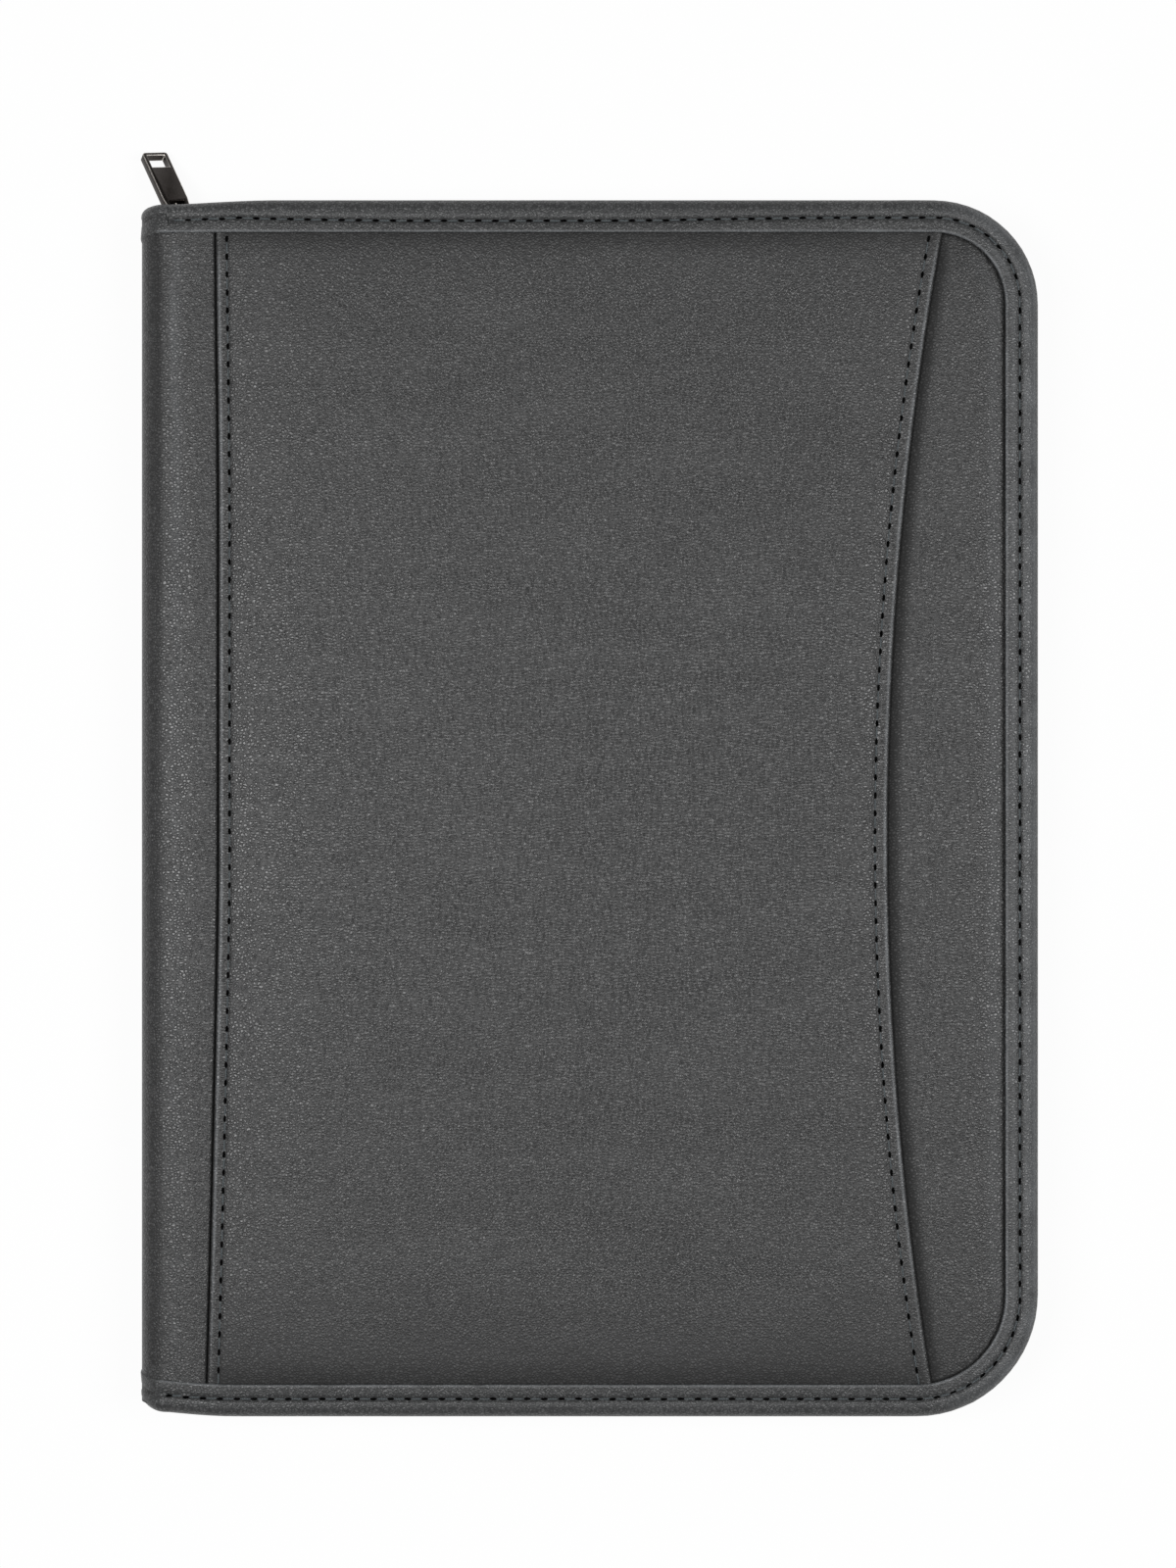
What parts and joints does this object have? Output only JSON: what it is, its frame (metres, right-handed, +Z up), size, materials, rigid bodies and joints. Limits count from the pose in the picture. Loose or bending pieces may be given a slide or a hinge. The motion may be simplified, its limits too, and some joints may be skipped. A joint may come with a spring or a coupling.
{
  "type": "zippered padfolio",
  "caption": "Zippered letter-size padfolio in charcoal leatherette with a curved slash pocket, bound edges, round spine, writing pad and pull tab.",
  "frame": {"origin": "centre of the case on the outer face of the back panel, which lies on the table", "axes": "+Z up through the closed case to the front cover, +X from the spine to the free edge, +Y towards the top of the case"},
  "size_m": [0.2555, 0.3605, 0.026],
  "materials": {
    "cover_leatherette": "charcoal grained leatherette, satin",
    "binding_leatherette": "charcoal grained leatherette strip, satin",
    "padding_foam": "soft foam sheet",
    "stiff_board": "grey stiffening board",
    "lining_cloth": "black woven lining",
    "pocket_leatherette": "thin black leatherette",
    "zipper_tape_cloth": "black woven tape",
    "zipper_teeth_plastic": "black moulded teeth",
    "zipper_metal": "gunmetal plating, satin",
    "pad_paper": "uncoated paper",
    "pad_cardboard": "grey pad backing",
    "pad_strip_cloth": "black cloth strip",
    "elastic_cloth": "black elastic"
  },
  "bodies": {
    "back_cover": {"back_panel": "cover_leatherette", "back_foam": "padding_foam", "back_board": "stiff_board", "back_lining": "lining_cloth", "back_binding": "binding_leatherette", "back_zipper_tape": "zipper_tape_cloth", "back_zipper_teeth": "zipper_teeth_plastic", "back_zipper_stops": "zipper_metal", "pad_sleeve": "pocket_leatherette", "pad_backing_board": "pad_cardboard", "pad_sheets": "pad_paper", "pad_binding_strip": "pad_strip_cloth", "pen_loop": "elastic_cloth"},
    "spine": {"spine_panel": "cover_leatherette", "spine_board": "stiff_board", "spine_lining": "lining_cloth", "spine_binding_upper": "binding_leatherette", "spine_binding_lower": "binding_leatherette"},
    "front_cover": {"front_base_panel": "cover_leatherette", "front_pocket_panel": "cover_leatherette", "front_foam": "padding_foam", "front_board": "stiff_board", "front_lining": "lining_cloth", "front_binding": "binding_leatherette", "front_zipper_tape": "zipper_tape_cloth", "front_zipper_teeth": "zipper_teeth_plastic", "front_zipper_stops": "zipper_metal", "document_pocket": "pocket_leatherette", "card_slot_upper": "pocket_leatherette", "card_slot_middle": "pocket_leatherette", "card_slot_lower": "pocket_leatherette"},
    "slider": {"slider_body": "zipper_metal", "slider_bail": "zipper_metal"},
    "pull_ring": {"pull_ring": "zipper_metal"},
    "pull_tab": {"pull_tab": "zipper_metal"}
  },
  "joints": [
    {"name": "spine_fold", "type": "hinge", "parent": "back_cover", "child": "spine", "pos_m": [-0.11875, 0, 0.0098], "axis": [0, -1, 0], "range_deg": [0, 90], "deforming": ["spine_panel", "spine_lining", "spine_binding_upper", "spine_binding_lower"]},
    {"name": "cover_fold", "type": "hinge", "parent": "spine", "child": "front_cover", "pos_m": [-0.11875, 0, 0.0162], "axis": [0, -1, 0], "range_deg": [0, 90]},
    {"name": "slider_run", "type": "slide", "parent": "back_cover", "child": "slider", "axis": [1, 0, 0], "range_m": [0, 0.2], "deforming": ["back_zipper_teeth", "front_zipper_teeth"]},
    {"name": "ring_swing", "type": "hinge", "parent": "slider", "child": "pull_ring", "pos_m": [-0.11305, 0.16575, 0.01255], "axis": [0, 0, 1], "range_deg": [-70, 12]},
    {"name": "tab_flap", "type": "hinge", "parent": "pull_ring", "child": "pull_tab", "pos_m": [-0.11735, 0.17132, 0.01187], "axis": [0.8367, 0.127, -0.5327], "range_deg": [-10, 28]}
  ],
  "couplings": [
    {"joint": "spine_fold", "follows": "cover_fold", "ratio": 1}
  ]
}
